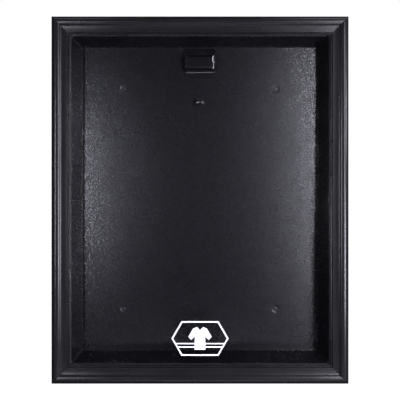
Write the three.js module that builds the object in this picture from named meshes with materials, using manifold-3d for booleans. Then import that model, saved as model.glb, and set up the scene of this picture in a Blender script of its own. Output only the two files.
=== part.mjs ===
// Wall-hung display frame for a sports jersey: a hinged, glazed wooden front
// over a deep moulded back tray. Millimetres, +Z up, front towards -Y, wall at y = 0.
import * as THREE from 'three';
import { mergeVertices } from 'three/addons/utils/BufferGeometryUtils.js';
import Module from 'manifold-3d';

const wasm = await Module();
wasm.setup();

// ---- driving dimensions -------------------------------------------------

const GAP = 0.3;                 // free space between pieces that touch

// wooden front
const FRAME_W = 864;
const FRAME_H = 1068;
const MEMBER_W = 52;             // width of the moulding, seen from the front
const DOOR_BACK_Y = -62;         // plane of the moulding's back
const RABBET_W = 8;              // ledge that carries the glazing
const LIP_BACK = 8.3;            // height of the ledge above the moulding's back
const MITRE_GAP = 0.25;
const SPLINE_LEG = 40;           // corner spline: length along each outer edge
const SPLINE_Y = -70.5;
const SPLINE_T = 3;

// glazing
const ACRYLIC_T = 3;
const ACRYLIC_BACK_Y = -67;
const EMBLEM_W = 167;
const EMBLEM_H = 101;
const EMBLEM_Z = -405;
const EMBLEM_T = 0.4;

// moulded tray
const RIM_Y = -60;
const FLOOR_Y = -10;             // inner face of the tray's floor
const SKIN_T = 3;
const RIM_HALF_X = 379.5;
const RIM_HALF_Z = 482.4;
const FLOOR_HALF_X = 359.6;
const FLOOR_HALF_Z = 462.5;
const CORNER_R = 8;
const FLANGE_HALF_X = 390;
const FLANGE_T = 3;
const NOTCH_HALF_X = 384.9;      // the flange is cut back to here at hinges and catches
const DRAFT = Math.atan2(RIM_HALF_X - FLOOR_HALF_X, FLOOR_Y - RIM_Y);
const WALL_X = SKIN_T / Math.cos(DRAFT);

// ribs on the tray's back
const CELLS_X = 7;
const CELLS_Z = 9;
const CELL_W = 100;
const CELL_H = 102;
const RIB_T = 3;
const RIB_RELIEF = 1;            // ribs stop this far short of the wall

// mounting cups and marks in the tray's floor
const CUP_X = 232;
const CUP_Z = 336;
const CUP_R = 12;
const CUP_BOTTOM_Y = -7;
const BOSS_R = 16;
const BOSS_BACK_Y = -4.4;

// hook bracket and peg
const BRACKET_HALF_X = 43;
const CHEEK_T = 6;
const CHEEK_SLOPE = 1.9;         // how far a cheek's outer front edge lies behind its inner one
const BRACKET_FRONT_Y = -34;
const BRACKET_TOP_Z = 459.5;
const BRACKET_LOW_Z = 395;
const BRACKET_FOOT_Z = 369;      // where the hollow underside meets the floor
const BRACKET_TAPER = 0.06;      // share by which the bracket is wider at the floor
const ROOF_EDGE_Y = -24;
const ROOF_EDGE_Z = 437.6;
const TONGUE_TOP_Z = 428.6;
const TONGUE_T = 3;
const TONGUE_R = 6.5;
const PEG_Z = 294.7;

// hinges on the left, magnetic catches on the right, at the same two heights
const HARDWARE_Z = { upper: 149, lower: -176 };
const PIN_X = -388;
const PIN_Y = -58.5;
const KNUCKLE_R = 3;
const PIN_HOLE_R = 1.5;
const PIN_R = 1.2;
const LEAF_H = 44;
const LEAF_T = 1.5;
const MID_KNUCKLE = 15;
const KNUCKLE_GAP = 0.5;
const RIVET_Y = -53;
const PLATE_BACK_Y = -60.2;      // back face of the plates screwed to the door
const SCREW_TIP_Y = -73;

const ROUND = 16;                // facets of a small round part

// ---- materials ----------------------------------------------------------

function material(color, roughness, metalness = 0, opacity = 1) {
  return new THREE.MeshStandardMaterial({
    color, roughness, metalness, opacity, transparent: opacity < 1,
  });
}

const blackLacquer = () => material(0x131313, 0.38);
const birch = () => material(0xb98f5e, 0.6);
const clearAcrylic = () => material(0xf2f6f8, 0.05, 0, 0.2);
const blackPlastic = () => material(0x1c1c20, 0.55);
const glossPlastic = () => material(0x111113, 0.25);
const blackFoam = () => material(0x222222, 0.95);
const blackRubber = () => material(0x191919, 0.85);
const blackSteel = () => material(0x202022, 0.4, 0.8);
const zincSteel = () => material(0xa9abad, 0.35, 0.9);
const frostedVinyl = () => material(0xe8e8e8, 0.6);

// ---- solid helpers ------------------------------------------------------

function toSolid(geometry) {
  const bare = geometry.clone();
  bare.deleteAttribute('normal');
  bare.deleteAttribute('uv');
  const merged = mergeVertices(bare, 1e-4);
  const vertProperties = new Float32Array(merged.attributes.position.array);
  const triVerts = new Uint32Array(merged.index.array);
  return new wasm.Manifold(new wasm.Mesh({ numProp: 3, vertProperties, triVerts }));
}

function toGeometry(solid) {
  const mesh = solid.getMesh();
  const geometry = new THREE.BufferGeometry();
  geometry.setAttribute('position', new THREE.BufferAttribute(mesh.vertProperties, 3));
  geometry.setIndex(new THREE.BufferAttribute(mesh.triVerts, 1));
  geometry.computeVertexNormals();
  return geometry;
}

function union(solids) {
  return solids.reduce((sum, solid) => sum.add(solid));
}

function signedVolume(geometry) {
  const position = geometry.attributes.position;
  const index = geometry.index;
  const a = new THREE.Vector3();
  const b = new THREE.Vector3();
  const c = new THREE.Vector3();
  let volume = 0;
  for (let i = 0; i < index.count; i += 3) {
    a.fromBufferAttribute(position, index.getX(i));
    b.fromBufferAttribute(position, index.getX(i + 1));
    c.fromBufferAttribute(position, index.getX(i + 2));
    volume += a.dot(b.cross(c)) / 6;
  }
  return volume;
}

// Merges shared corners and turns every face outwards.
function closed(geometry) {
  const bare = geometry.clone();
  bare.deleteAttribute('normal');
  bare.deleteAttribute('uv');
  const merged = mergeVertices(bare, 1e-4);
  if (signedVolume(merged) < 0) {
    merged.index.array.reverse();
  }
  return merged;
}

function outline(points) {
  return new THREE.Shape(points.map(([a, b]) => new THREE.Vector2(a, b)));
}

function extruded(shape, depth) {
  return new THREE.ExtrudeGeometry(shape, { depth, bevelEnabled: false, curveSegments: 6 });
}

// A shape drawn in X and Z, thickened from yBack towards the front.
function plate(shape, yBack, thickness) {
  return extruded(shape, thickness).rotateX(Math.PI / 2).translate(0, yBack, 0);
}

// A shape drawn in Y and Z, thickened along X from xLow.
function crossPlate(shape, xLow, thickness) {
  const turn = new THREE.Matrix4().makeBasis(
    new THREE.Vector3(0, 1, 0),
    new THREE.Vector3(0, 0, 1),
    new THREE.Vector3(1, 0, 0),
  );
  return extruded(shape, thickness).applyMatrix4(turn).translate(xLow, 0, 0);
}

// A shape drawn in X and Y, standing along Z and centred on zMid.
function upright(shape, zMid, height) {
  return extruded(shape, height).translate(0, 0, zMid - height / 2);
}

function box([xLow, xHigh], [yLow, yHigh], [zLow, zHigh]) {
  const geometry = new THREE.BoxGeometry(xHigh - xLow, yHigh - yLow, zHigh - zLow);
  return geometry.translate((xLow + xHigh) / 2, (yLow + yHigh) / 2, (zLow + zHigh) / 2);
}

function cylinderY(radius, x, z, yLow, yHigh, facets = ROUND) {
  const geometry = new THREE.CylinderGeometry(radius, radius, yHigh - yLow, facets);
  return geometry.translate(x, (yLow + yHigh) / 2, z);
}

function cylinderZ(radius, x, y, zMid, height) {
  const geometry = new THREE.CylinderGeometry(radius, radius, height, ROUND);
  return geometry.rotateX(Math.PI / 2).translate(x, y, zMid);
}

// A turned part about the Y axis; the outline holds [radius, y] pairs.
function turned(points, facets = ROUND) {
  return new THREE.LatheGeometry(points.map(([r, y]) => new THREE.Vector2(r, y)), facets);
}

function arc(centreA, centreB, radiusA, radiusB, from, to, steps) {
  const points = [];
  for (let i = 0; i <= steps; i += 1) {
    const angle = THREE.MathUtils.degToRad(from + ((to - from) * i) / steps);
    points.push([centreA + radiusA * Math.cos(angle), centreB + radiusB * Math.sin(angle)]);
  }
  return points;
}

function bezier(start, pullA, pullB, end, steps) {
  const corners = [start, pullA, pullB, end].map(([a, b]) => new THREE.Vector2(a, b));
  return new THREE.CubicBezierCurve(...corners).getPoints(steps).map((p) => [p.x, p.y]);
}

function hexagon(acrossFlats) {
  return arc(0, 0, acrossFlats / Math.sqrt(3), acrossFlats / Math.sqrt(3), 0, 300, 5);
}

const root = new THREE.Group();
root.name = 'jersey_display_frame';

function addMesh(name, geometry, surface) {
  const mesh = new THREE.Mesh(geometry, surface);
  mesh.name = name;
  root.add(mesh);
  return mesh;
}

// ---- mitred members -----------------------------------------------------

// Bends a bar of the given cross-section into one side of a mitred rectangle.
// The cross-section holds [u, y] pairs: u runs inwards from the frame's outer edge.
function mitredMember(side, section) {
  const geometry = extruded(outline(section), 1);
  const position = geometry.attributes.position;
  for (let i = 0; i < position.count; i += 1) {
    const u = position.getX(i);
    const y = position.getY(i);
    const end = position.getZ(i) > 0.5 ? 1 : -1;
    const acrossX = FRAME_W / 2 - u;
    const acrossZ = FRAME_H / 2 - u;
    const alongX = end * (acrossX - MITRE_GAP);
    const alongZ = end * (acrossZ - MITRE_GAP);
    if (side === 'top') position.setXYZ(i, alongX, y, acrossZ);
    if (side === 'bottom') position.setXYZ(i, alongX, y, -acrossZ);
    if (side === 'left') position.setXYZ(i, -acrossX, y, alongZ);
    if (side === 'right') position.setXYZ(i, acrossX, y, alongZ);
  }
  return closed(geometry);
}

// The moulding's cross-section, as [u, height above its back].
function mouldingOutline() {
  return [
    [0, 0],
    [0, 14.4],
    ...arc(15.5, 11.2, 15.8, 15.8, 167, 45, 13),
    ...bezier([28.2, 20.9], [30.4, 19.9], [32.4, 19.5], [34, 19.1], 3),
    ...bezier([36, 18.7], [39.5, 18.1], [43, 17.8], [46.2, 17.65], 3),
    [47, 17.2],
    [47.8, 14.6],
    [48.4, 13.3],
    ...arc(50.2, 12.6, 1.8, 1.8, 150, 0, 4),
    [MEMBER_W, LIP_BACK],
    [MEMBER_W - RABBET_W, LIP_BACK],
    [MEMBER_W - RABBET_W, 0],
  ];
}

// The corner triangle at one corner of the frame; signX and signZ pick the corner.
function cornerTriangle(signX, signZ, leg, inset, yBack, thickness) {
  const triangle = [[inset, inset], [leg - inset, inset], [inset, leg - inset]];
  const points = triangle.map(([a, b]) => [
    signX * (FRAME_W / 2 - a),
    signZ * (FRAME_H / 2 - b),
  ]);
  if (signX * signZ < 0) points.reverse();
  return closed(plate(outline(points), yBack, thickness));
}

const CORNERS = [
  ['upper_left', -1, 1],
  ['upper_right', 1, 1],
  ['lower_left', -1, -1],
  ['lower_right', 1, -1],
];

const SIDES = { rail_top: 'top', rail_bottom: 'bottom', stile_left: 'left', stile_right: 'right' };

function splineSlots() {
  const slots = CORNERS.map(([, signX, signZ]) => toSolid(
    cornerTriangle(signX, signZ, SPLINE_LEG + 1, -2, SPLINE_Y + GAP, SPLINE_T + 2 * GAP),
  ));
  return union(slots);
}

// Screw positions on the door: two in each hinge leaf and two in each strike.
const DOOR_SCREWS = [];
for (const [level, z] of Object.entries(HARDWARE_Z)) {
  DOOR_SCREWS.push([`hinge_${level}_door_screw_1`, -402, z + 15.5]);
  DOOR_SCREWS.push([`hinge_${level}_door_screw_2`, -402, z - 15.5]);
  DOOR_SCREWS.push([`catch_${level}_strike_screw_1`, 404, z + 10]);
  DOOR_SCREWS.push([`catch_${level}_strike_screw_2`, 404, z - 10]);
}

function doorScrewHoles() {
  return union(DOOR_SCREWS.map(([, x, z]) => toSolid(
    cylinderY(1.9, x, z, SCREW_TIP_Y - 0.4, DOOR_BACK_Y + 5, 12),
  )));
}

function addMouldings() {
  const cuts = splineSlots().add(doorScrewHoles());
  const section = mouldingOutline().map(([u, h]) => [u, DOOR_BACK_Y - h]);
  for (const [name, side] of Object.entries(SIDES)) {
    const bar = toSolid(mitredMember(side, section)).subtract(cuts);
    addMesh(name, toGeometry(bar), blackLacquer());
  }
}

function addCornerSplines() {
  for (const [corner, signX, signZ] of CORNERS) {
    const wedge = cornerTriangle(signX, signZ, SPLINE_LEG, 0.2, SPLINE_Y, SPLINE_T);
    addMesh(`corner_spline_${corner}`, wedge, birch());
  }
}

function addRetainers() {
  const uOuter = MEMBER_W - RABBET_W + GAP;
  const uInner = MEMBER_W - GAP;
  const front = ACRYLIC_BACK_Y + GAP;
  const back = DOOR_BACK_Y - GAP;
  const section = [
    [uOuter, back],
    [uOuter, front],
    [uInner, front],
    [uInner, back - 1.5],
    [uInner - 1.5, back],
  ];
  for (const side of Object.values(SIDES)) {
    addMesh(`glazing_retainer_${side}`, mitredMember(side, section), blackPlastic());
  }
}

function addGaskets() {
  const uOuter = FRAME_W / 2 - NOTCH_HALF_X + GAP;
  const uInner = MEMBER_W - 0.4;
  const back = RIM_Y - GAP;
  const front = DOOR_BACK_Y + GAP;
  const section = [[uOuter, back], [uOuter, front], [uInner, front], [uInner, back]];
  for (const side of Object.values(SIDES)) {
    addMesh(`foam_gasket_${side}`, mitredMember(side, section), blackFoam());
  }
}

function addAcrylic() {
  const halfX = FRAME_W / 2 - MEMBER_W + RABBET_W - 0.5;
  const halfZ = FRAME_H / 2 - MEMBER_W + RABBET_W - 0.5;
  const sheet = box([-halfX, halfX], [ACRYLIC_BACK_Y - ACRYLIC_T, ACRYLIC_BACK_Y], [-halfZ, halfZ]);
  addMesh('acrylic_panel', sheet, clearAcrylic());
}

// ---- emblem: a plain jersey inside a long hexagon ------------------------

function hexBand(halfW, halfH) {
  const shoulder = halfW - halfH * 0.58;
  return [
    [halfW, 0],
    [shoulder, halfH],
    [-shoulder, halfH],
    [-halfW, 0],
    [-shoulder, -halfH],
    [shoulder, -halfH],
  ];
}

function jerseyOutline() {
  const rightSide = [
    [16, -33],
    [15, 6],
    [26, -4],
    [34, 5],
    [20, 29],
    [9, 33.5],
  ];
  const leftSide = rightSide.map(([x, z]) => [-x, z]).reverse();
  return [...rightSide, [0, 24], ...leftSide];
}

function emblemBars() {
  const bars = [];
  for (const side of [-1, 1]) {
    for (const z of [-15, -25]) {
      const reach = EMBLEM_W / 2 - 3 - Math.abs(z) * 0.58;
      const ends = side > 0 ? [14, reach] : [-reach, -14];
      bars.push(toSolid(box(ends, [-EMBLEM_T, 0], [z - 1.7, z + 1.7])));
    }
  }
  return bars;
}

function addEmblem() {
  const rim = outline(hexBand(EMBLEM_W / 2, EMBLEM_H / 2));
  rim.holes.push(new THREE.Path(outline(hexBand(EMBLEM_W / 2 - 5, EMBLEM_H / 2 - 4)).getPoints()));
  const jersey = plate(outline(jerseyOutline()), 0, EMBLEM_T);
  const solid = union([
    toSolid(plate(rim, 0, EMBLEM_T)),
    toSolid(jersey),
    ...emblemBars(),
  ]);
  const decal = addMesh('emblem_decal', toGeometry(solid), frostedVinyl());
  decal.position.set(0, ACRYLIC_BACK_Y - ACRYLIC_T - 0.1, EMBLEM_Z);
}

// ---- moulded tray -------------------------------------------------------

function innerHalfX(y) {
  return FLOOR_HALF_X + ((FLOOR_Y - y) * (RIM_HALF_X - FLOOR_HALF_X)) / (FLOOR_Y - RIM_Y);
}

function outerHalfX(y) {
  return innerHalfX(y) + WALL_X;
}

const HALF_DIFFERENCE = FLOOR_HALF_Z - FLOOR_HALF_X;   // the tray is this much taller than wide

function roundedRing(halfX, radius, y) {
  const halfZ = halfX + HALF_DIFFERENCE;
  const centres = [[1, 1, 0], [-1, 1, 90], [-1, -1, 180], [1, -1, 270]];
  return centres.flatMap(([signX, signZ, start]) => arc(
    signX * (halfX - radius), signZ * (halfZ - radius), radius, radius, start, start + 90, 4,
  ).map(([x, z]) => new THREE.Vector3(x, y, z)));
}

// Skins a stack of rings and closes both ends with a fan.
function loft(rings) {
  const count = rings[0].length;
  const vertices = rings.flat();
  const index = [];
  for (let r = 0; r + 1 < rings.length; r += 1) {
    for (let i = 0; i < count; i += 1) {
      const next = (i + 1) % count;
      const a = r * count + i;
      const b = r * count + next;
      index.push(a, b, a + count);
      index.push(b, b + count, a + count);
    }
  }
  for (let i = 1; i + 1 < count; i += 1) {
    const last = (rings.length - 1) * count;
    index.push(0, i + 1, i);
    index.push(last, last + i, last + i + 1);
  }
  const geometry = new THREE.BufferGeometry();
  geometry.setFromPoints(vertices);
  geometry.setIndex(index);
  return closed(geometry);
}

function trayShell() {
  const flangeBack = RIM_Y + FLANGE_T;
  const outside = loft([
    roundedRing(outerHalfX(0), CORNER_R + SKIN_T, 0),
    roundedRing(outerHalfX(flangeBack), CORNER_R + SKIN_T, flangeBack),
    roundedRing(FLANGE_HALF_X, CORNER_R + SKIN_T, flangeBack),
    roundedRing(FLANGE_HALF_X, CORNER_R + SKIN_T, RIM_Y),
  ]);
  const cavity = loft([
    roundedRing(innerHalfX(FLOOR_Y) - 2.4, CORNER_R, FLOOR_Y),
    roundedRing(innerHalfX(FLOOR_Y - 1) - 0.9, CORNER_R, FLOOR_Y - 0.8),
    roundedRing(innerHalfX(FLOOR_Y - 3), CORNER_R, FLOOR_Y - 3),
    roundedRing(innerHalfX(RIM_Y + 0.7), CORNER_R, RIM_Y + 0.7),
    roundedRing(RIM_HALF_X + 1.2, CORNER_R, RIM_Y - 1),
  ]);
  return toSolid(outside).subtract(toSolid(cavity));
}

const CUPS = [
  ['upper_left', -CUP_X, CUP_Z],
  ['upper_right', CUP_X, CUP_Z],
  ['lower_left', -CUP_X, -CUP_Z],
  ['lower_right', CUP_X, -CUP_Z],
];

// Hollows between the ribs; the middle cell stays solid as the wall pad.
function ribPockets() {
  const pockets = [];
  for (let i = 0; i < CELLS_X; i += 1) {
    for (let j = 0; j < CELLS_Z; j += 1) {
      const x = (i - (CELLS_X - 1) / 2) * CELL_W;
      const z = (j - (CELLS_Z - 1) / 2) * CELL_H;
      if (x === 0 && z === 0) continue;
      const halfX = (CELL_W - RIB_T) / 2;
      const halfZ = (CELL_H - RIB_T) / 2;
      const yRange = [FLOOR_Y + SKIN_T, 1];
      pockets.push(toSolid(box([x - halfX, x + halfX], yRange, [z - halfZ, z + halfZ])));
    }
  }
  const bosses = CUPS.map(([, x, z]) => toSolid(cylinderY(BOSS_R, x, z, -9, BOSS_BACK_Y, 24)));
  return union(pockets).subtract(union(bosses));
}

function ribRelief() {
  const halfX = (CELLS_X * CELL_W - RIB_T) / 2;
  const halfZ = (CELLS_Z * CELL_H - RIB_T) / 2;
  const field = box([-halfX, halfX], [-RIB_RELIEF, 1], [-halfZ, halfZ]);
  const padX = (CELL_W + RIB_T) / 2;
  const padZ = (CELL_H + RIB_T) / 2;
  const pad = box([-padX, padX], [-RIB_RELIEF - 1, 2], [-padZ, padZ]);
  return toSolid(field).subtract(toSolid(pad));
}

function cupCuts() {
  return CUPS.flatMap(([, x, z]) => [
    toSolid(cylinderY(CUP_R, x, z, FLOOR_Y - 1, CUP_BOTTOM_Y, 24)),
    toSolid(cylinderY(2.3, x, z, FLOOR_Y, 1)),
  ]);
}

const STUDS = [
  [-42, BRACKET_LOW_Z + 6],
  [42, BRACKET_LOW_Z + 6],
  [-42, BRACKET_TOP_Z - 22],
  [42, BRACKET_TOP_Z - 22],
];

function floorHoles() {
  const studHoles = [...STUDS, [0, PEG_Z]].map(
    ([x, z]) => toSolid(cylinderY(2.8, x, z, FLOOR_Y - 1, 1)),
  );
  const gateMarks = [
    toSolid(cylinderY(4.2, -131, 427, FLOOR_Y - 1, FLOOR_Y + 1.5)),
    toSolid(cylinderY(3, -17, -342, FLOOR_Y - 1, FLOOR_Y + 1)),
  ];
  return [...studHoles, ...gateMarks];
}

function flangeNotches() {
  const yRange = [RIM_Y - 1, RIM_Y + FLANGE_T + 0.5];
  const high = FLANGE_HALF_X + 5;
  return Object.values(HARDWARE_Z).flatMap((z) => [
    toSolid(box([-high, -NOTCH_HALF_X], yRange, [z - 27, z + 27])),
    toSolid(box([NOTCH_HALF_X, high], yRange, [z - 32, z + 32])),
  ]);
}

// Lays a part turned about Y along the outward normal of a side wall.
function onSideWall(geometry, side, z) {
  geometry.rotateZ(side === 'left' ? Math.PI / 2 - DRAFT : DRAFT - Math.PI / 2);
  const x = innerHalfX(RIVET_Y) * (side === 'left' ? -1 : 1);
  return geometry.translate(x, RIVET_Y, z);
}

const RIVETS = [];
for (const [level, z] of Object.entries(HARDWARE_Z)) {
  RIVETS.push([`hinge_${level}_rivet_1`, 'left', z + 15.5]);
  RIVETS.push([`hinge_${level}_rivet_2`, 'left', z - 15.5]);
  RIVETS.push([`catch_${level}_rivet_1`, 'right', z + 24]);
  RIVETS.push([`catch_${level}_rivet_2`, 'right', z - 24]);
}

function rivetHole(side, z) {
  return toSolid(onSideWall(new THREE.CylinderGeometry(1.8, 1.8, 16, 12), side, z));
}

function addTray() {
  const cuts = union([
    ribPockets(),
    ribRelief(),
    ...cupCuts(),
    ...floorHoles(),
    ...flangeNotches(),
    ...RIVETS.map(([, side, z]) => rivetHole(side, z)),
  ]);
  addMesh('back_tray', toGeometry(trayShell().subtract(cuts)), blackPlastic());
}

// ---- hook bracket and garment peg ----------------------------------------

// A stud that passes through the tray's floor and is flared behind it.
function snapStud(x, z, frontY) {
  const behind = FLOOR_Y + SKIN_T + GAP;
  const stud = turned([
    [0, frontY],
    [2.5, frontY],
    [2.5, behind],
    [3.4, behind],
    [3, behind + 0.9],
    [0, behind + 0.9],
  ]);
  return stud.translate(x, 0, z);
}

function cheekOutline() {
  const back = FLOOR_Y - GAP;
  return [
    [back, BRACKET_TOP_Z],
    [back, BRACKET_LOW_Z],
    [BRACKET_FRONT_Y, BRACKET_LOW_Z],
    [BRACKET_FRONT_Y, ROOF_EDGE_Z - 5],
    [ROOF_EDGE_Y - 1, ROOF_EDGE_Z],
  ];
}

function roofOutline() {
  const back = FLOOR_Y - GAP;
  return [
    [back, BRACKET_TOP_Z],
    [back, BRACKET_TOP_Z - 5],
    [ROOF_EDGE_Y, ROOF_EDGE_Z - 2],
    [ROOF_EDGE_Y, ROOF_EDGE_Z + 1.4],
  ];
}

function tongueOutline(halfX) {
  return [
    [-halfX, BRACKET_LOW_Z],
    [halfX, BRACKET_LOW_Z],
    ...arc(halfX - TONGUE_R, TONGUE_TOP_Z - TONGUE_R, TONGUE_R, TONGUE_R, 0, 90, 5),
    ...arc(TONGUE_R - halfX, TONGUE_TOP_Z - TONGUE_R, TONGUE_R, TONGUE_R, 90, 180, 5),
  ];
}

// The bracket's underside: a ledge with a hollow curve that runs out on the tray's floor.
function footOutline() {
  const back = FLOOR_Y - GAP;
  const front = [BRACKET_FRONT_Y, BRACKET_LOW_Z];
  const sweep = bezier(front, [-21, 394], [-14, 387], [back, BRACKET_FOOT_Z], 7);
  return [[back, BRACKET_LOW_Z + 3], [BRACKET_FRONT_Y, BRACKET_LOW_Z + 3], ...sweep];
}

// Widens a solid towards the floor, as the draft of its mould does, and slopes its cheeks outwards.
function drafted(solid) {
  const depth = FLOOR_Y - BRACKET_FRONT_Y;
  return solid.warp((vertex) => {
    const share = (vertex[1] - BRACKET_FRONT_Y) / depth;
    if (Math.abs(vertex[0]) > BRACKET_HALF_X - 0.5) vertex[1] += CHEEK_SLOPE * (1 - share);
    vertex[0] *= 1 + BRACKET_TAPER * share;
  });
}

function addBracket() {
  const inner = BRACKET_HALF_X - CHEEK_T;
  const span = 2 * inner + 2;
  const tongue = outline(tongueOutline(inner + 0.3));
  const foot = outline(footOutline());
  const body = union([
    toSolid(crossPlate(outline(cheekOutline()), inner, CHEEK_T)),
    toSolid(crossPlate(outline(cheekOutline()), -BRACKET_HALF_X, CHEEK_T)),
    toSolid(crossPlate(outline(roofOutline()), -span / 2, span)),
    toSolid(plate(tongue, BRACKET_FRONT_Y + TONGUE_T, TONGUE_T)),
    toSolid(closed(crossPlate(foot, -BRACKET_HALF_X, 2 * BRACKET_HALF_X))),
  ]);
  const studs = STUDS.map(([x, z]) => toSolid(closed(snapStud(x, z, FLOOR_Y - 2))));
  addMesh('hook_bracket', toGeometry(drafted(body).add(union(studs))), blackPlastic());
}

function pegLobe(side) {
  const lobe = new THREE.SphereGeometry(1, 14, 10).scale(6.6, 4.5, 8.5);
  return lobe.translate(side * 7.7, FLOOR_Y - 11, 0);
}

function addPeg() {
  const stem = turned([
    [0, FLOOR_Y - 13],
    [3.6, FLOOR_Y - 13],
    [3.6, FLOOR_Y - 3],
    [7, FLOOR_Y - 1.5],
    [7, FLOOR_Y - GAP],
    [0, FLOOR_Y - GAP],
  ]);
  const solid = union([
    toSolid(closed(stem)),
    toSolid(closed(pegLobe(-1))),
    toSolid(closed(pegLobe(1))),
    toSolid(closed(snapStud(0, 0, FLOOR_Y - 2))),
  ]);
  const peg = addMesh('garment_peg', toGeometry(solid), glossPlastic());
  peg.position.z = PEG_Z;
}

// ---- hinges -------------------------------------------------------------

// A plate that follows the outside of the tray's side wall, drawn in X and Y.
function wallPlateOutline(side, yBack) {
  const sign = side === 'left' ? -1 : 1;
  const front = RIM_Y + FLANGE_T + 0.4;
  return [
    [sign * (outerHalfX(front) + GAP), front],
    [sign * (outerHalfX(yBack) + GAP), yBack],
    [sign * (outerHalfX(yBack) + GAP + 1.7), yBack],
    [sign * (outerHalfX(front) + GAP + 1.7), front],
  ];
}

function wallPlate(side, z, height) {
  return toSolid(closed(upright(outline(wallPlateOutline(side, -43)), z, height)));
}

function pinHole(z) {
  return toSolid(cylinderZ(PIN_HOLE_R, PIN_X, PIN_Y, z, LEAF_H + 4));
}

function addTrayLeaf(level, z) {
  const front = RIM_Y + FLANGE_T + 0.4;
  const reach = outerHalfX(front) + GAP;
  const strap = box([PIN_X, -reach], [front, front + LEAF_T], [z - MID_KNUCKLE / 2, z + MID_KNUCKLE / 2]);
  const solid = union([
    wallPlate('left', z, LEAF_H),
    toSolid(strap),
    toSolid(cylinderZ(KNUCKLE_R, PIN_X, PIN_Y, z, MID_KNUCKLE)),
  ]);
  const holes = [z + 15.5, z - 15.5].map((height) => rivetHole('left', height));
  const leaf = solid.subtract(union([pinHole(z), ...holes]));
  addMesh(`hinge_${level}_tray_leaf`, toGeometry(leaf), blackSteel());
}

function addDoorLeaf(level, z) {
  const bite = MID_KNUCKLE / 2 + KNUCKLE_GAP;
  const leafShape = outline([
    [-412, z - LEAF_H / 2],
    [PIN_X, z - LEAF_H / 2],
    [PIN_X, z - bite],
    [PIN_X - KNUCKLE_R - 0.7, z - bite],
    [PIN_X - KNUCKLE_R - 0.7, z + bite],
    [PIN_X, z + bite],
    [PIN_X, z + LEAF_H / 2],
    [-412, z + LEAF_H / 2],
  ]);
  const length = LEAF_H / 2 - bite;
  const middle = bite + length / 2;
  const solid = union([
    toSolid(plate(leafShape, PLATE_BACK_Y, LEAF_T)),
    toSolid(cylinderZ(KNUCKLE_R, PIN_X, PIN_Y, z + middle, length)),
    toSolid(cylinderZ(KNUCKLE_R, PIN_X, PIN_Y, z - middle, length)),
  ]);
  const holes = [z + 15.5, z - 15.5].map(
    (height) => toSolid(cylinderY(1.9, -402, height, -65, -55, 12)),
  );
  const leaf = solid.subtract(union([pinHole(z), ...holes]));
  addMesh(`hinge_${level}_door_leaf`, toGeometry(leaf), blackSteel());
}

function addHingePin(level, z) {
  const half = LEAF_H / 2 + GAP;
  const pin = turned([
    [0, -half - 1.4],
    [1.6, -half - 1.4],
    [2.4, -half - 0.7],
    [2.4, -half],
    [PIN_R, -half],
    [PIN_R, half],
    [2.4, half],
    [2.4, half + 0.7],
    [1.6, half + 1.4],
    [0, half + 1.4],
  ]);
  const geometry = closed(pin).rotateX(Math.PI / 2);
  const mesh = addMesh(`hinge_${level}_pin`, geometry, zincSteel());
  mesh.position.set(PIN_X, PIN_Y, z);
}

// ---- catches ------------------------------------------------------------

function addCatch(level, z) {
  const front = RIM_Y + FLANGE_T + 0.4;
  const magnetBlock = outline([
    [outerHalfX(front) + GAP, front],
    [NOTCH_HALF_X + GAP, front],
    [NOTCH_HALF_X + GAP, RIM_Y + 0.1],
    [396, RIM_Y + 0.1],
    [396, -45],
    [outerHalfX(-45) + GAP, -45],
  ]);
  const solid = union([
    wallPlate('right', z, 60),
    toSolid(closed(upright(magnetBlock, z, 36))),
  ]);
  const holes = [z + 24, z - 24].map((height) => rivetHole('right', height));
  addMesh(`catch_${level}_body`, toGeometry(solid.subtract(union(holes))), blackPlastic());
}

function addStrike(level, z) {
  const solid = toSolid(box([387, 411], [PLATE_BACK_Y - LEAF_T, PLATE_BACK_Y], [z - 18, z + 18]));
  const holes = [z + 10, z - 10].map(
    (height) => toSolid(cylinderY(1.9, 404, height, -65, -55, 12)),
  );
  addMesh(`catch_${level}_strike`, toGeometry(solid.subtract(union(holes))), zincSteel());
}

// ---- fasteners ----------------------------------------------------------

function addRivets() {
  for (const [name, side, z] of RIVETS) {
    const rivet = turned([
      [0, -1.7],
      [1.7, -1.7],
      [2.5, -1.1],
      [2.5, -GAP],
      [1.5, -GAP],
      [1.5, 5.2],
      [3, 5.2],
      [2.4, 6.3],
      [0, 6.5],
    ], 12);
    addMesh(name, closed(onSideWall(rivet, side, z)), blackSteel());
  }
}

function addDoorScrews() {
  for (const [name, x, z] of DOOR_SCREWS) {
    const underHead = PLATE_BACK_Y + GAP;
    const screw = turned([
      [0, SCREW_TIP_Y],
      [1.6, SCREW_TIP_Y + 2.5],
      [1.6, underHead],
      [3.2, underHead],
      [2.9, underHead + 1.2],
      [0, underHead + 1.7],
    ], 12);
    addMesh(name, closed(screw).translate(x, 0, z), zincSteel());
  }
}

// Pan-head screws in the four cups: the upper pair holds the hanger plates,
// the lower pair is threaded into the rubber bumpers.
function addCupScrews() {
  for (const [corner, x, z] of CUPS) {
    const underHead = CUP_BOTTOM_Y - GAP;
    const tip = corner.startsWith('upper') ? -0.4 : -1.6;
    const screw = turned([
      [0, tip],
      [1.6, tip],
      [2, tip - 0.5],
      [2, underHead],
      [4.4, underHead],
      [4.4, underHead - 1.4],
      [3.2, underHead - 2.6],
      [0, underHead - 2.9],
    ]);
    addMesh(`cup_screw_${corner}`, closed(screw).translate(x, 0, z), blackSteel());
  }
}

function keyhole(x, z) {
  const slot = outline([
    [x - 2.4, z - 2],
    [x + 2.4, z - 2],
    [x + 2.4, z + 6],
    [x + 1.3, z + 7.6],
    [x - 1.3, z + 7.6],
    [x - 2.4, z + 6],
  ]);
  const entry = cylinderY(4.6, x, z - 3, -6, 1);
  return toSolid(plate(slot, 1, 7)).add(toSolid(entry));
}

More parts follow.
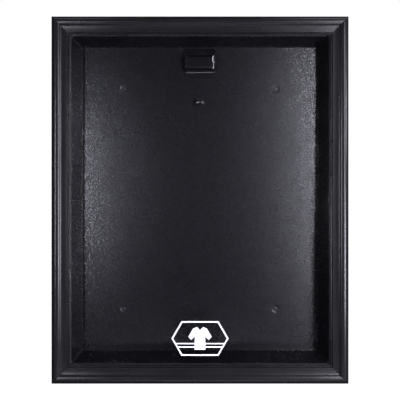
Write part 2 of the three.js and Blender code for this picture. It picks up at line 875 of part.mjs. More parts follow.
function addHangerPlates() {
  for (const [side, sign] of [['left', -1], ['right', 1]]) {
    const x = sign * CUP_X;
    const ends = [x + sign * 11, x - sign * 62].sort((a, b) => a - b);
    const back = BOSS_BACK_Y + GAP + LEAF_T;
    const blank = toSolid(box(ends, [back - LEAF_T, back], [CUP_Z - 12, CUP_Z + 12]));
    const holes = union([
      toSolid(cylinderY(2.3, x, CUP_Z, -6, 1)),
      keyhole(x - sign * 44, CUP_Z),
    ]);
    addMesh(`hanger_plate_${side}`, toGeometry(blank.subtract(holes)), zincSteel());

    const nut = outline(hexagon(7));
    nut.holes.push(new THREE.Path(arc(0, 0, 2.3, 2.3, 330, 0, 11).map(([a, b]) => new THREE.Vector2(a, b))));
    const nutMesh = addMesh(`hanger_nut_${side}`, closed(plate(nut, 0, 1.9)), zincSteel());
    nutMesh.position.set(x, back + GAP + 1.9, CUP_Z);
  }
}

function addBumpers() {
  for (const [side, sign] of [['left', -1], ['right', 1]]) {
    const front = BOSS_BACK_Y + GAP;
    const bumper = turned([
      [2.3, front],
      [13, front],
      [13, -1],
      [12, 0],
      [0, 0],
      [0, -1.2],
      [2.3, -1.2],
      [2.3, front],
    ], 24);
    addMesh(`wall_bumper_${side}`, closed(bumper).translate(sign * CUP_X, 0, -CUP_Z), blackRubber());
  }
}

// ---- assembly -----------------------------------------------------------

addMouldings();
addCornerSplines();
addAcrylic();
addRetainers();
addEmblem();
addGaskets();
addTray();
addBracket();
addPeg();
for (const [level, z] of Object.entries(HARDWARE_Z)) {
  addTrayLeaf(level, z);
  addDoorLeaf(level, z);
  addHingePin(level, z);
  addCatch(level, z);
  addStrike(level, z);
}
addRivets();
addDoorScrews();
addCupScrews();
addHangerPlates();
addBumpers();

export default root;
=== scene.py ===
import math

import bmesh
import bpy
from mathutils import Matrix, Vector


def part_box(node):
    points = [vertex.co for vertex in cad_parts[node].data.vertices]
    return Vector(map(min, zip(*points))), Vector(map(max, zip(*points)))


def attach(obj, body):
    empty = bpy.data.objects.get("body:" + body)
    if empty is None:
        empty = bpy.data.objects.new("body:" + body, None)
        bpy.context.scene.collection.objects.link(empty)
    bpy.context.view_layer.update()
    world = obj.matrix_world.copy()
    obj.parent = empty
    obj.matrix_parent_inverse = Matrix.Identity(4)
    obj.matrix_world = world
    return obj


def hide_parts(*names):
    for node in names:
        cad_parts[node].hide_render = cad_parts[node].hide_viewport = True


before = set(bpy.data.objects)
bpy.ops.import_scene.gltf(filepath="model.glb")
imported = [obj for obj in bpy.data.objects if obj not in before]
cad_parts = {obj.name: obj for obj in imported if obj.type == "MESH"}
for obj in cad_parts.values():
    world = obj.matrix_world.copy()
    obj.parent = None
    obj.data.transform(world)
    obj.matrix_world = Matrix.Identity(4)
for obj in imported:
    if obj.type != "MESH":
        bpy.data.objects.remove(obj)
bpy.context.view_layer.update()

MM = 0.001

# ---- sizes that repeat the CAD, in millimetres ---------------------------

FRAME_W = 864.0
FRAME_H = 1068.0
MEMBER_W = 52.0
RABBET_W = 8.0
LIP_BACK = 8.3
DOOR_BACK_Y = -62.0
MITRE_GAP = 0.25

RIM_Y = -60.0
FLOOR_Y = -10.0
SKIN_T = 3.0
FLANGE_T = 3.0
FLANGE_HALF_X = 390.0
NOTCH_HALF_X = 384.9
RIM_HALF_X = 379.5
FLOOR_HALF_X = 359.6
TALLER_BY = 102.9
CORNER_R = 8.0
DRAFT = math.atan2(RIM_HALF_X - FLOOR_HALF_X, FLOOR_Y - RIM_Y)
WALL_X = SKIN_T / math.cos(DRAFT)

CELLS_X = 7
CELLS_Z = 9
CELL_W = 100.0
CELL_H = 102.0
RIB_T = 3.0
RIB_RELIEF = 1.0
BOSS_R = 16.0
BOSS_BACK_Y = -4.4
CUP_R = 12.0
CUP_BOTTOM_Y = -7.0

GATE_MARKS = ((-131.0, 427.0, 4.2, 1.5), (-17.0, -342.0, 3.0, 1.0))   # x, z, radius, depth
HINGE_NOTCH_HALF_Z = 27.0
CATCH_NOTCH_HALF_Z = 32.0
NOTCH_END_X = 395.0

# ---- sizes of details that only the visual model has, in millimetres ------

CORNER_STEPS = 8
FOOT_ROUND_UP = 1.9      # rounding where a wall meets the floor, up the wall
FOOT_ROUND_IN = 2.0      # the same rounding, in over the floor
CUP_HOLE_R = 2.3
CROSS_REACH = 2.1
CROSS_HALF_W = 0.42
CROSS_DEPTH = 1.3
SCREW_HEAD_H = 2.9
SHANK_R = 2.0

CORNERS = ("upper_left", "upper_right", "lower_left", "lower_right")
SIDES = ("top", "bottom", "left", "right")
LEVELS = ("upper", "lower")


def centre_of(node):
    """Middle of a CAD node's box, in millimetres."""
    low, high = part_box(node)
    return (Vector(low) + Vector(high)) * 500.0


# ---- small mesh helpers ---------------------------------------------------

def piece_from(name, vertices, faces):
    """A new object from millimetre vertices."""
    mesh = bpy.data.meshes.new(name)
    mesh.from_pydata([Vector(v) * MM for v in vertices], [], faces)
    obj = bpy.data.objects.new(name, mesh)
    bpy.context.collection.objects.link(obj)
    make_outward(obj)
    return obj


def make_outward(obj):
    bm = bmesh.new()
    bm.from_mesh(obj.data)
    bmesh.ops.recalc_face_normals(bm, faces=bm.faces)
    bm.to_mesh(obj.data)
    bm.free()


def smooth_by_angle(obj, degrees=32.0):
    """Smooth faces, with every edge sharper than the angle kept crisp."""
    bm = bmesh.new()
    bm.from_mesh(obj.data)
    limit = math.radians(degrees)
    for face in bm.faces:
        face.smooth = True
    for edge in bm.edges:
        edge.smooth = edge.is_manifold and edge.calc_face_angle(0.0) < limit
    bm.to_mesh(obj.data)
    bm.free()


def apply_modifiers(obj):
    graph = bpy.context.evaluated_depsgraph_get()
    mesh = bpy.data.meshes.new_from_object(obj.evaluated_get(graph))
    old = obj.data
    obj.modifiers.clear()
    obj.data = mesh
    bpy.data.meshes.remove(old)


def rounded_edges(obj, width, segments=2, angle=38.0):
    bevel = obj.modifiers.new("rounded edges", "BEVEL")
    bevel.width = width * MM
    bevel.segments = segments
    bevel.limit_method = "ANGLE"
    bevel.angle_limit = math.radians(angle)
    bevel.harden_normals = False
    apply_modifiers(obj)


def weighted_normals(obj):
    weighted = obj.modifiers.new("weighted normals", "WEIGHTED_NORMAL")
    weighted.keep_sharp = True
    weighted.weight = 90


def combine(obj, tool, operation):
    """Applies an exact boolean and removes the tool."""
    boolean = obj.modifiers.new("combine", "BOOLEAN")
    boolean.operation = operation
    boolean.solver = "EXACT"
    boolean.object = tool
    apply_modifiers(obj)
    mesh = tool.data
    bpy.data.objects.remove(tool)
    bpy.data.meshes.remove(mesh)


def box_vertices(low, high):
    (x0, y0, z0), (x1, y1, z1) = low, high
    vertices = [
        (x0, y0, z0), (x1, y0, z0), (x1, y1, z0), (x0, y1, z0),
        (x0, y0, z1), (x1, y0, z1), (x1, y1, z1), (x0, y1, z1),
    ]
    faces = [
        (0, 3, 2, 1), (4, 5, 6, 7), (0, 1, 5, 4),
        (1, 2, 6, 5), (2, 3, 7, 6), (3, 0, 4, 7),
    ]
    return vertices, faces


def turned_vertices(profile, steps=32):
    """A closed solid turned about the Y axis; the profile runs from axis to axis."""
    vertices = [(0.0, profile[0][1], 0.0)]
    rings = []
    for radius, y in profile[1:-1]:
        rings.append(len(vertices))
        for i in range(steps):
            angle = 2 * math.pi * i / steps
            vertices.append((radius * math.cos(angle), y, radius * math.sin(angle)))
    last = len(vertices)
    vertices.append((0.0, profile[-1][1], 0.0))
    faces = []
    for i in range(steps):
        after = (i + 1) % steps
        faces.append((0, rings[0] + i, rings[0] + after))
        faces.append((last, rings[-1] + after, rings[-1] + i))
        for a, b in zip(rings, rings[1:]):
            faces.append((a + i, b + i, b + after, a + after))
    return vertices, faces


def gather(parts):
    """Joins (vertices, faces, offset) parts into one list of each."""
    all_vertices = []
    all_faces = []
    for (vertices, faces), offset in parts:
        start = len(all_vertices)
        shift = Vector(offset)
        all_vertices += [tuple(Vector(v) + shift) for v in vertices]
        all_faces += [tuple(start + i for i in face) for face in faces]
    return all_vertices, all_faces


def arc(centre, radii, start, end, steps):
    points = []
    for i in range(steps + 1):
        angle = math.radians(start + (end - start) * i / steps)
        points.append((
            centre[0] + radii[0] * math.cos(angle),
            centre[1] + radii[1] * math.sin(angle),
        ))
    return points


def bezier(a, b, c, d, steps):
    points = []
    for i in range(steps + 1):
        t = i / steps
        weights = ((1 - t) ** 3, 3 * t * (1 - t) ** 2, 3 * t * t * (1 - t), t ** 3)
        points.append(tuple(
            sum(w * p[k] for w, p in zip(weights, (a, b, c, d))) for k in (0, 1)
        ))
    return points


# ---- node helpers ---------------------------------------------------------

class Recipe:
    """A material with one Principled shader, and short calls to wire nodes into it."""

    def __init__(self, name, **values):
        self.material = bpy.data.materials.new(name)
        self.material.use_nodes = True
        self.tree = self.material.node_tree
        self.shader = self.tree.nodes["Principled BSDF"]
        self.coords = self.tree.nodes.new("ShaderNodeTexCoord").outputs["Object"]
        for socket, value in values.items():
            self.shader.inputs[socket.replace("_", " ")].default_value = value

    def link(self, source, target):
        self.tree.links.new(source, target)

    def mapped(self, scale):
        node = self.tree.nodes.new("ShaderNodeMapping")
        node.inputs["Scale"].default_value = scale
        self.link(self.coords, node.inputs["Vector"])
        return node.outputs["Vector"]

    def noise(self, scale, detail=3.0, vector=None, roughness=0.5):
        node = self.tree.nodes.new("ShaderNodeTexNoise")
        node.inputs["Scale"].default_value = scale
        node.inputs["Detail"].default_value = detail
        node.inputs["Roughness"].default_value = roughness
        self.link(vector or self.coords, node.inputs["Vector"])
        return node.outputs["Fac"]

    def cells(self, scale, smoothness=0.6):
        node = self.tree.nodes.new("ShaderNodeTexVoronoi")
        node.feature = "SMOOTH_F1"
        node.inputs["Scale"].default_value = scale
        node.inputs["Smoothness"].default_value = smoothness
        self.link(self.coords, node.inputs["Vector"])
        return node.outputs["Distance"]

    def total(self, a, b, share):
        """a + b * share."""
        node = self.tree.nodes.new("ShaderNodeMath")
        node.operation = "MULTIPLY_ADD"
        node.inputs[1].default_value = share
        self.link(b, node.inputs[0])
        self.link(a, node.inputs[2])
        return node.outputs[0]

    def surface_gloss(self, head_on):
        """Share of light a polished face reflects: least head on, most at a grazing angle."""
        weight = self.tree.nodes.new("ShaderNodeLayerWeight")
        weight.inputs["Blend"].default_value = 0.5
        power = self.tree.nodes.new("ShaderNodeMath")
        power.operation = "POWER"
        power.inputs[1].default_value = 5.0
        self.link(weight.outputs["Facing"], power.inputs[0])
        share = self.tree.nodes.new("ShaderNodeMath")
        share.operation = "MULTIPLY_ADD"
        share.inputs[1].default_value = 1.0 - head_on
        share.inputs[2].default_value = head_on
        self.link(power.outputs[0], share.inputs[0])
        return share.outputs[0]

    def tint(self, factor, dark, light, low=0.3, high=0.7):
        """Colour between dark and light as the factor rises."""
        ramp = self.tree.nodes.new("ShaderNodeValToRGB")
        ramp.color_ramp.elements[0].position = low
        ramp.color_ramp.elements[0].color = (*dark, 1.0)
        ramp.color_ramp.elements[1].position = high
        ramp.color_ramp.elements[1].color = (*light, 1.0)
        self.link(factor, ramp.inputs["Fac"])
        self.link(ramp.outputs["Color"], self.shader.inputs["Base Color"])

    def vary(self, socket, factor, low, high):
        node = self.tree.nodes.new("ShaderNodeMapRange")
        node.inputs["From Min"].default_value = 0.3
        node.inputs["From Max"].default_value = 0.7
        node.inputs["To Min"].default_value = low
        node.inputs["To Max"].default_value = high
        self.link(factor, node.inputs["Value"])
        self.link(node.outputs["Result"], self.shader.inputs[socket])

    def bump(self, height, strength, distance):
        node = self.tree.nodes.new("ShaderNodeBump")
        node.inputs["Strength"].default_value = strength
        node.inputs["Distance"].default_value = distance
        self.link(height, node.inputs["Height"])
        self.link(node.outputs["Normal"], self.shader.inputs["Normal"])


# ---- materials ------------------------------------------------------------

def black_lacquer(name, grain_scale):
    """Satin black paint over wood; the grain runs along the member."""
    recipe = Recipe(name, Roughness=0.27, Specular_IOR_Level=0.22)
    grain = recipe.noise(1.0, detail=6.0, vector=recipe.mapped(grain_scale), roughness=0.62)
    cloud = recipe.noise(9.0, detail=2.0)
    recipe.tint(grain, (0.0045, 0.0044, 0.0048), (0.0075, 0.0073, 0.008))
    recipe.vary("Roughness", cloud, 0.25, 0.3)
    recipe.bump(grain, 0.006, 0.0002)
    return recipe.material


def pebbled_plastic(name, dark, light, roughness, pebble=340.0, height=0.0002):
    """Moulded styrene with the fine pebble of its mould."""
    recipe = Recipe(name, Roughness=roughness)
    pebbles = recipe.cells(pebble, 0.4)
    fine = recipe.noise(pebble * 2.1, detail=2.0)
    relief = recipe.total(pebbles, fine, 0.6)
    recipe.tint(recipe.noise(160.0, detail=5.0, roughness=0.7), dark, light)
    recipe.vary("Roughness", recipe.noise(pebble * 0.8), roughness - 0.03, roughness + 0.03)
    recipe.bump(relief, 0.9, height)
    return recipe.material


def smooth_plastic(name, dark, light, roughness):
    recipe = Recipe(name, Roughness=roughness, Coat_Weight=0.3, Coat_Roughness=0.08)
    flow = recipe.noise(120.0, detail=3.0)
    recipe.tint(flow, dark, light)
    recipe.vary("Roughness", flow, roughness * 0.8, roughness * 1.25)
    recipe.bump(recipe.noise(900.0, detail=2.0), 0.06, 0.0001)
    return recipe.material


def clear_acrylic(name):
    """A pane: light goes straight through, with the gloss of its polished face."""
    recipe = Recipe(name, Metallic=1.0, Roughness=0.03)
    recipe.tint(recipe.noise(3.0, detail=1.0), (0.96, 0.975, 0.985), (1.0, 1.0, 1.0))
    recipe.vary("Roughness", recipe.noise(14.0, detail=3.0), 0.02, 0.05)
    nodes = recipe.tree.nodes
    clear = nodes.new("ShaderNodeBsdfTransparent")
    clear.inputs["Color"].default_value = (0.985, 0.99, 0.99, 1.0)
    mix = nodes.new("ShaderNodeMixShader")
    recipe.link(recipe.surface_gloss(0.04), mix.inputs["Fac"])
    recipe.link(clear.outputs["BSDF"], mix.inputs[1])
    recipe.link(recipe.shader.outputs["BSDF"], mix.inputs[2])
    recipe.link(mix.outputs["Shader"], nodes["Material Output"].inputs["Surface"])
    return recipe.material


def white_print(name):
    """Matt screen-printed ink, a little uneven where the ink is thin."""
    recipe = Recipe(name, Roughness=0.55)
    recipe.tint(recipe.noise(260.0, detail=5.0, roughness=0.7), (0.62, 0.63, 0.65), (0.83, 0.83, 0.84))
    recipe.vary("Roughness", recipe.noise(90.0), 0.5, 0.65)
    recipe.bump(recipe.noise(1400.0, detail=2.0), 0.1, 0.0001)
    return recipe.material


def metal(name, dark, light, roughness, brushed):
    """Plated or oxidised steel, with the fine lines left by rolling."""
    recipe = Recipe(name, Metallic=1.0, Roughness=roughness)
    lines = recipe.noise(1.0, detail=4.0, vector=recipe.mapped(brushed))
    recipe.tint(lines, dark, light)
    recipe.vary("Roughness", recipe.noise(60.0), roughness * 0.8, roughness * 1.3)
    recipe.bump(lines, 0.08, 0.0001)
    return recipe.material


def foam(name):
    recipe = Recipe(name, Roughness=0.95, Sheen_Weight=0.2, Sheen_Roughness=0.5)
    pore_relief_and_shade = recipe.cells(900.0, 0.3)
    # the cells set both the bump of the pores and their colour: the sunken middle of each pore is
    # painted darker than its rim, which is painted shade in the pores
    recipe.tint(pore_relief_and_shade, (0.008, 0.008, 0.008), (0.03, 0.03, 0.03), 0.1, 0.6)
    recipe.bump(pore_relief_and_shade, 0.8, 0.0006)
    return recipe.material


def rubber(name):
    recipe = Recipe(name, Roughness=0.7)
    mottle = recipe.noise(300.0, detail=4.0)
    recipe.tint(mottle, (0.014, 0.014, 0.014), (0.028, 0.028, 0.027))
    recipe.vary("Roughness", mottle, 0.62, 0.8)
    recipe.bump(mottle, 0.25, 0.0003)
    return recipe.material


def raw_wood(name):
    recipe = Recipe(name, Roughness=0.6)
    grain = recipe.noise(1.0, detail=5.0, vector=recipe.mapped((30.0, 400.0, 400.0)))
    recipe.tint(grain, (0.3, 0.17, 0.07), (0.52, 0.34, 0.17))
    recipe.vary("Roughness", grain, 0.5, 0.72)
    recipe.bump(grain, 0.3, 0.0003)
    return recipe.material


LACQUER_ALONG_X = black_lacquer("black lacquer, grain along X", (9.0, 260.0, 260.0))
LACQUER_ALONG_Z = black_lacquer("black lacquer, grain along Z", (260.0, 260.0, 9.0))
TRAY_PLASTIC = pebbled_plastic(
    "pebbled black styrene", (0.002, 0.00195, 0.0029), (0.0034, 0.0033, 0.0048), 0.27)
BRACKET_PLASTIC = pebbled_plastic(
    "black styrene, fine pebble", (0.003, 0.0029, 0.0038), (0.005, 0.0049, 0.0062), 0.2, 620.0, 0.00004)
SMALL_PLASTIC = smooth_plastic("black nylon", (0.014, 0.014, 0.015), (0.022, 0.022, 0.023), 0.36)
PEG_PLASTIC = smooth_plastic("polished black nylon", (0.006, 0.006, 0.007), (0.01, 0.01, 0.011), 0.16)
ACRYLIC = clear_acrylic("clear acrylic")
INK = white_print("white screen print")
ROLLING_LINES = (60.0, 900.0, 900.0)
DARK_STEEL = metal("black oxide steel", (0.05, 0.05, 0.055), (0.09, 0.09, 0.095), 0.38, ROLLING_LINES)
ZINC_STEEL = metal("zinc plated steel", (0.5, 0.51, 0.53), (0.68, 0.69, 0.7), 0.3, ROLLING_LINES)
FOAM = foam("black foam")
RUBBER = rubber("black rubber")
BIRCH = raw_wood("raw birch")


def dress(obj, material):
    obj.data.materials.clear()
    obj.data.materials.append(material)


# ---- CAD pieces refined: same shape, eased edges and smooth curves ---------

def refined(name, node, material, body, ease=0.0, angle=32.0):
    """A copy of a CAD node's mesh with merged flats, eased edges and smooth curves."""
    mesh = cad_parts[node].data.copy()
    obj = bpy.data.objects.new(name, mesh)
    bpy.context.collection.objects.link(obj)
    bm = bmesh.new()
    bm.from_mesh(mesh)
    bmesh.ops.remove_doubles(bm, verts=bm.verts, dist=0.01 * MM)
    bmesh.ops.dissolve_limit(bm, angle_limit=math.radians(0.5), verts=bm.verts, edges=bm.edges)
    bm.to_mesh(mesh)
    bm.free()
    if ease:
        rounded_edges(obj, ease)
    finish_piece(obj, material, body, node, angle)
    return obj


def finish_piece(obj, material, body, node, angle=32.0):
    smooth_by_angle(obj, angle)
    weighted_normals(obj)
    dress(obj, material)
    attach(obj, body)
    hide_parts(node)


# ---- wooden front -----------------------------------------------------------

def moulding_profile():
    """[u, height] points of the moulding, from its outer back corner round the front."""
    return [
        (0.0, 0.0),
        (0.0, 14.0),
        *arc((15.5, 11.2), (15.8, 15.8), 168, 45, 40),
        *bezier((26.67, 22.37), (28.4, 20.6), (31.0, 19.7), (34.0, 19.1), 12)[1:],
        *bezier((34.0, 19.1), (38.0, 18.3), (42.0, 17.85), (46.2, 17.65), 10)[1:],
        *bezier((46.2, 17.65), (47.0, 17.6), (47.3, 16.8), (47.7, 15.0), 6)[1:],
        *bezier((47.7, 15.0), (47.9, 14.0), (48.1, 13.5), (48.5, 13.2), 3)[1:],
        *arc((50.2, 12.6), (1.8, 1.8), 156, 0, 14),
        (MEMBER_W, LIP_BACK),
        (MEMBER_W - RABBET_W, LIP_BACK),
        (MEMBER_W - RABBET_W, 0.0),
    ]


def mitred_point(side, u, height, end):
    """Where a profile point lies at one mitred end of a member."""
    across_x = FRAME_W / 2 - u
    across_z = FRAME_H / 2 - u
    along_x = end * (across_x - MITRE_GAP)
    along_z = end * (across_z - MITRE_GAP)
    y = DOOR_BACK_Y - height
    places = {
        "top": (along_x, y, across_z),
        "bottom": (along_x, y, -across_z),
        "left": (-across_x, y, along_z),
        "right": (across_x, y, along_z),
    }
    return places[side]


def moulding(side, node, material):
    profile = moulding_profile()
    count = len(profile)
    vertices = [mitred_point(side, u, h, -1) for u, h in profile]
    vertices += [mitred_point(side, u, h, 1) for u, h in profile]
    faces = [tuple(range(count)), tuple(range(2 * count - 1, count - 1, -1))]
    for i in range(count):
        after = (i + 1) % count
        faces.append((i, i + count, after + count, after))
    obj = piece_from("moulding_" + side, vertices, faces)
    rounded_edges(obj, 0.35, segments=2, angle=50.0)
    finish_piece(obj, material, "door", node, 30.0)


def build_front():
    moulding("top", "rail_top", LACQUER_ALONG_X)
    moulding("bottom", "rail_bottom", LACQUER_ALONG_X)
    moulding("left", "stile_left", LACQUER_ALONG_Z)
    moulding("right", "stile_right", LACQUER_ALONG_Z)
    for corner in CORNERS:
        node = "corner_spline_" + corner
        refined("mitre_key_" + corner, node, BIRCH, "door", 0.15)
    for side in SIDES:
        node = "glazing_retainer_" + side
        refined("retainer_strip_" + side, node, SMALL_PLASTIC, "door", 0.4)
        node = "foam_gasket_" + side
        refined("gasket_strip_" + side, node, FOAM, "case", 0.35)
    refined("glazing_sheet", "acrylic_panel", ACRYLIC, "door", 0.3)
    refined("printed_emblem", "emblem_decal", INK, "door")


# ---- moulded tray -----------------------------------------------------------

def inner_half_x(y):
    return FLOOR_HALF_X + (FLOOR_Y - y) * (RIM_HALF_X - FLOOR_HALF_X) / (FLOOR_Y - RIM_Y)


def rounded_ring(half_x, radius, y):
    half_z = half_x + TALLER_BY
    points = []
    for sign_x, sign_z, start in ((1, 1, 0), (-1, 1, 90), (-1, -1, 180), (1, -1, 270)):
        centre = (sign_x * (half_x - radius), sign_z * (half_z - radius))
        points += [(x, y, z) for x, z in arc(centre, (radius, radius), start, start + 90, CORNER_STEPS)]
    return points


def tray_rings():
    """Rings from the middle of the back, round the rim, to the middle of the floor."""
    flange_back = RIM_Y + FLANGE_T
    outer_r = CORNER_R + SKIN_T
    back_half = inner_half_x(0.0) + WALL_X
    wall_end = inner_half_x(flange_back) + WALL_X
    rings = [
        (back_half - 1.2, outer_r - 1.0, 0.0),
        (back_half - 0.35, outer_r - 0.3, -0.35),
        (back_half + 0.45, outer_r, -1.3),
        (wall_end - 0.6, outer_r, flange_back + 1.5),
        (wall_end + 0.2, outer_r, flange_back + 0.4),
        (wall_end + 1.2, outer_r, flange_back),
        (FLANGE_HALF_X - 0.7, outer_r, flange_back),
        (FLANGE_HALF_X, outer_r, flange_back - 0.7),
        (FLANGE_HALF_X, outer_r, RIM_Y + 0.7),
        (FLANGE_HALF_X - 0.7, outer_r, RIM_Y),
    ]
    lip = bezier(
        (RIM_HALF_X + 1.4, RIM_Y), (RIM_HALF_X + 0.6, RIM_Y),
        (RIM_HALF_X, RIM_Y + 0.3), (inner_half_x(RIM_Y + 1.6), RIM_Y + 1.6), 5)
    rings += [(half, CORNER_R, y) for half, y in lip]
    corner = (inner_half_x(FLOOR_Y), FLOOR_Y)
    foot_steps = 7
    foot = bezier((inner_half_x(FLOOR_Y - FOOT_ROUND_UP), FLOOR_Y - FOOT_ROUND_UP), corner, corner,
                  (corner[0] - FOOT_ROUND_IN, FLOOR_Y), foot_steps)
    rings += [(half, CORNER_R - 1.5 * k / foot_steps, y) for k, (half, y) in enumerate(foot)]
    return rings


def tray_body():
    rings = [rounded_ring(*ring) for ring in tray_rings()]
    count = len(rings[0])
    vertices = [point for ring in rings for point in ring]
    faces = [tuple(range(count - 1, -1, -1))]
    for r in range(len(rings) - 1):
        for i in range(count):
            after = (i + 1) % count
            a = r * count
            faces.append((a + i, a + after, a + count + after, a + count + i))
    start = (len(rings) - 1) * count
    faces.append(tuple(range(start, start + count)))
    return piece_from("tray_shell", vertices, faces)


def cup_places():
    return [centre_of("cup_screw_" + corner) for corner in CORNERS]


def rib_pocket_tool():
    parts = []
    half_x = (CELL_W - RIB_T) / 2
    half_z = (CELL_H - RIB_T) / 2
    for i in range(CELLS_X):
        for j in range(CELLS_Z):
            x = (i - (CELLS_X - 1) / 2) * CELL_W
            z = (j - (CELLS_Z - 1) / 2) * CELL_H
            if x == 0 and z == 0:
                continue
            low = (x - half_x, FLOOR_Y + SKIN_T, z - half_z)
            high = (x + half_x, 2.0, z + half_z)
            parts.append((box_vertices(low, high), (0, 0, 0)))
    return piece_from("rib pocket tool", *gather(parts))


def rib_relief_tool():
    half_x = (CELLS_X * CELL_W - RIB_T) / 2
    half_z = (CELLS_Z * CELL_H - RIB_T) / 2
    relief = box_vertices((-half_x, -RIB_RELIEF, -half_z), (half_x, 3.0, half_z))
    return piece_from("rib relief tool", *relief)


def boss_and_pad_tool():
    half_x = (CELL_W + RIB_T) / 2
    half_z = (CELL_H + RIB_T) / 2
    boss = turned_vertices([
        (0, -8.5), (BOSS_R, -8.5), (BOSS_R, BOSS_BACK_Y - 0.6),
        (BOSS_R - 0.6, BOSS_BACK_Y), (0, BOSS_BACK_Y),
    ], 40)
    parts = [(boss, (place.x, 0, place.z)) for place in cup_places()]
    parts.append((box_vertices((-half_x, -8.0, -half_z), (half_x, 0.0, half_z)), (0, 0, 0)))
    return piece_from("boss tool", *gather(parts))


def floor_feature_tool():
    dish = bezier(
        (CUP_R + 1.0, FLOOR_Y), (CUP_R - 0.8, FLOOR_Y),
        (CUP_R - 3.6, CUP_BOTTOM_Y), (CUP_R - 5.4, CUP_BOTTOM_Y), 14)
    cup = turned_vertices([
        (0, FLOOR_Y - 2), (CUP_R + 1.0, FLOOR_Y - 2), *dish,
        (CUP_HOLE_R, CUP_BOTTOM_Y), (CUP_HOLE_R, 1.5), (0, 1.5),
    ], 48)
    parts = [(cup, (place.x, 0, place.z)) for place in cup_places()]
    for x, z, radius, depth in GATE_MARKS:
        mark = turned_vertices([
            (0, FLOOR_Y - 2), (radius + 0.4, FLOOR_Y - 2), (radius + 0.4, FLOOR_Y),
            (radius, FLOOR_Y + 0.4), (radius * 0.8, FLOOR_Y + depth), (0, FLOOR_Y + depth),
        ], 32)
        parts.append((mark, (x, 0, z)))
    return piece_from("floor feature tool", *gather(parts))


def notch_tool():
    parts = []
    y_range = (RIM_Y - 1.0, RIM_Y + FLANGE_T + 0.5)
    sides = (
        (-NOTCH_END_X, -NOTCH_HALF_X, HINGE_NOTCH_HALF_Z),
        (NOTCH_HALF_X, NOTCH_END_X, CATCH_NOTCH_HALF_Z),
    )
    for level in LEVELS:
        z = centre_of(f"hinge_{level}_pin").z
        for low_x, high_x, half in sides:
            low = (low_x, y_range[0], z - half)
            high = (high_x, y_range[1], z + half)
            parts.append((box_vertices(low, high), (0, 0, 0)))
    return piece_from("notch tool", *gather(parts))


def build_tray():
    tray = tray_body()
    combine(tray, rib_relief_tool(), "DIFFERENCE")
    combine(tray, rib_pocket_tool(), "DIFFERENCE")
    combine(tray, boss_and_pad_tool(), "UNION")
    combine(tray, floor_feature_tool(), "DIFFERENCE")
    combine(tray, notch_tool(), "DIFFERENCE")
    finish_piece(tray, TRAY_PLASTIC, "case", "back_tray", 34.0)


def build_garment_fittings():
    refined("bracket_moulding", "hook_bracket", BRACKET_PLASTIC, "case", 1.4)
    refined("peg_moulding", "garment_peg", PEG_PLASTIC, "case", 0.0, 40.0)


# ---- hardware ---------------------------------------------------------------

def cut_cross(obj, middle, face_y, facing):
    """Cuts a cross recess into a screw head; facing is -1 for the front, 1 for the back."""
    ends = sorted((face_y + facing, face_y - facing * CROSS_DEPTH))
    for size_x, size_z in ((CROSS_REACH, CROSS_HALF_W), (CROSS_HALF_W, CROSS_REACH)):
        low = (middle.x - size_x, ends[0], middle.z - size_z)
        high = (middle.x + size_x, ends[1], middle.z + size_z)
        combine(obj, piece_from("cross tool", *box_vertices(low, high)), "DIFFERENCE")


def domed_screw(name, node):
    """A tray screw: a low domed head at the front, with a cross recess, on a plain shank."""
    low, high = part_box(node)
    middle = centre_of(node)
    front, tip = low[1] / MM, high[1] / MM
    head_r = (high[0] - low[0]) / MM / 2
    under_head = front + SCREW_HEAD_H
    dome = arc((0.0, under_head - 1.2), (head_r, 1.7), -84, 0, 10)
    screw = turned_vertices([
        (0, front), *dome, (head_r - 0.2, under_head),
        (SHANK_R, under_head), (SHANK_R, tip - 0.5), (SHANK_R - 0.4, tip), (0, tip),
    ], 40)
    obj = piece_from(name, *gather([(screw, (middle.x, 0, middle.z))]))
    cut_cross(obj, middle, front, -1)
    finish_piece(obj, DARK_STEEL, "case", node)


def build_hinge(level):
    node = f"hinge_{level}_"
    refined(f"tray_hinge_leaf_{level}", node + "tray_leaf", DARK_STEEL, "case", 0.2)
    refined(f"door_hinge_leaf_{level}", node + "door_leaf", DARK_STEEL, "door", 0.2)
    refined(f"hinge_pin_{level}", node + "pin", ZINC_STEEL, "case", 0.1)
    for k in ("1", "2"):
        refined(f"hinge_rivet_{level}_{k}", node + "rivet_" + k, DARK_STEEL, "case")
        refined(f"leaf_screw_{level}_{k}", node + "door_screw_" + k, ZINC_STEEL, "door")


def build_catch(level):
    node = f"catch_{level}_"
    refined(f"magnet_catch_{level}", node + "body", SMALL_PLASTIC, "case", 0.4)
    refined(f"strike_plate_{level}", node + "strike", ZINC_STEEL, "door", 0.2)
    for k in ("1", "2"):
        refined(f"catch_rivet_{level}_{k}", node + "rivet_" + k, DARK_STEEL, "case")
        refined(f"strike_screw_{level}_{k}", node + "strike_screw_" + k, ZINC_STEEL, "door")


def build_hardware():
    for corner in CORNERS:
        domed_screw("tray_screw_" + corner, "cup_screw_" + corner)
    for side in ("left", "right"):
        refined(f"keyhole_plate_{side}", f"hanger_plate_{side}", ZINC_STEEL, "case", 0.3)
        refined(f"plate_nut_{side}", f"hanger_nut_{side}", ZINC_STEEL, "case", 0.15)
        refined(f"rubber_bumper_{side}", f"wall_bumper_{side}", RUBBER, "case", 0.3)
    for level in LEVELS:
        build_hinge(level)
        build_catch(level)


# ---- camera, light and floor --------------------------------------------------

CAMERA_LENS = 40.35
CAMERA_AWAY = 1.381
CAMERA_RISE = 0.07
STUDIO_HALF = 12.0
STUDIO_FLOOR_Z = -2.4
LIGHT_DISTANCE = 2.3
LIGHT_TINT = (1.0, 0.98, 1.12)
AMBIENT = 0.004


def add_camera():
    """Straight at the front from a little above its middle, as in the product picture."""
    data = bpy.data.cameras.new("camera")
    data.sensor_width = 36.0
    data.lens = CAMERA_LENS
    data.shift_y = -0.06
    camera = bpy.data.objects.new("camera", data)
    camera.location = (0.0, -CAMERA_AWAY, CAMERA_RISE)
    camera.rotation_euler = (math.radians(90), 0, 0)
    bpy.context.collection.objects.link(camera)
    bpy.context.scene.camera = camera


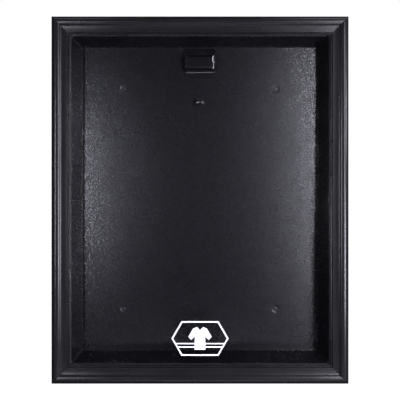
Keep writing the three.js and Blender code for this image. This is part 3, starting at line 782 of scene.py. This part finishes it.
def add_softbox(name, turn, rise, size, power):
    """A rectangular light aimed at the object, turned and raised in degrees from its front."""
    data = bpy.data.lights.new(name, "AREA")
    data.shape = "RECTANGLE"
    data.size, data.size_y = size
    data.energy = power
    data.color = LIGHT_TINT
    light = bpy.data.objects.new(name, data)
    turn, rise = math.radians(turn), math.radians(rise)
    light.location = LIGHT_DISTANCE * Vector((
        math.sin(turn) * math.cos(rise), -math.cos(turn) * math.cos(rise), math.sin(rise)))
    light.rotation_euler = (-light.location).to_track_quat("-Z", "Y").to_euler()
    bpy.context.collection.objects.link(light)


def add_lights():
    """Strips to each side, just outside what the pane mirrors, dimmer fills, and one behind."""
    add_softbox("strip right", 40, -12, (0.45, 0.75), 64)
    add_softbox("narrow strip right", 32, 11, (0.2, 1.3), 39)
    add_softbox("narrow strip left", -32, 0, (0.2, 1.2), 34)
    add_softbox("side light right", 62, 12, (0.45, 0.5), 18)
    add_softbox("high light right", 45, 60, (0.45, 0.5), 5)
    add_softbox("high light left", -45, 60, (0.45, 0.5), 2.7)
    add_softbox("low fill", 4, -43, (1.6, 0.3), 6.5)
    add_softbox("back light", 180, 8, (1.0, 1.0), 60)


def camera_ray_factor(nodes):
    return nodes.new("ShaderNodeLightPath").outputs["Is Camera Ray"]


def add_world():
    """White behind the object, dim everywhere else."""
    world = bpy.data.worlds.new("studio")
    bpy.context.scene.world = world
    world.use_nodes = True
    nodes = world.node_tree.nodes
    links = world.node_tree.links
    dim = nodes["Background"]
    dim.inputs["Color"].default_value = (1.0, 1.0, 1.0, 1.0)
    dim.inputs["Strength"].default_value = AMBIENT
    white = nodes.new("ShaderNodeBackground")
    white.inputs["Color"].default_value = (1.0, 1.0, 1.0, 1.0)
    white.inputs["Strength"].default_value = 1.0
    mix = nodes.new("ShaderNodeMixShader")
    links.new(camera_ray_factor(nodes), mix.inputs["Fac"])
    links.new(dim.outputs["Background"], mix.inputs[1])
    links.new(white.outputs["Background"], mix.inputs[2])
    links.new(mix.outputs["Shader"], nodes["World Output"].inputs["Surface"])


def add_floor():
    """A floor far below: white to the camera, black to other rays so the pane mirrors no horizon."""
    mesh = bpy.data.meshes.new("studio_floor")
    ends = ((-1, -1), (1, -1), (1, 1), (-1, 1))
    corners = [(x * STUDIO_HALF, y * STUDIO_HALF, STUDIO_FLOOR_Z) for x, y in ends]
    mesh.from_pydata(corners, [], [(0, 1, 2, 3)])
    floor = bpy.data.objects.new("studio_floor", mesh)
    bpy.context.collection.objects.link(floor)
    material = bpy.data.materials.new("pale floor")
    material.use_nodes = True
    nodes = material.node_tree.nodes
    links = material.node_tree.links
    shader = nodes["Principled BSDF"]
    shader.inputs["Roughness"].default_value = 0.9
    shader.inputs["Emission Color"].default_value = (1.0, 1.0, 1.0, 1.0)
    seen = camera_ray_factor(nodes)
    links.new(seen, shader.inputs["Emission Strength"])
    links.new(seen, shader.inputs["Base Color"])
    mesh.materials.append(material)


bpy.context.scene.view_settings.view_transform = "Standard"
add_camera()
build_front()
build_tray()
build_garment_fittings()
build_hardware()
add_lights()
add_world()
add_floor()
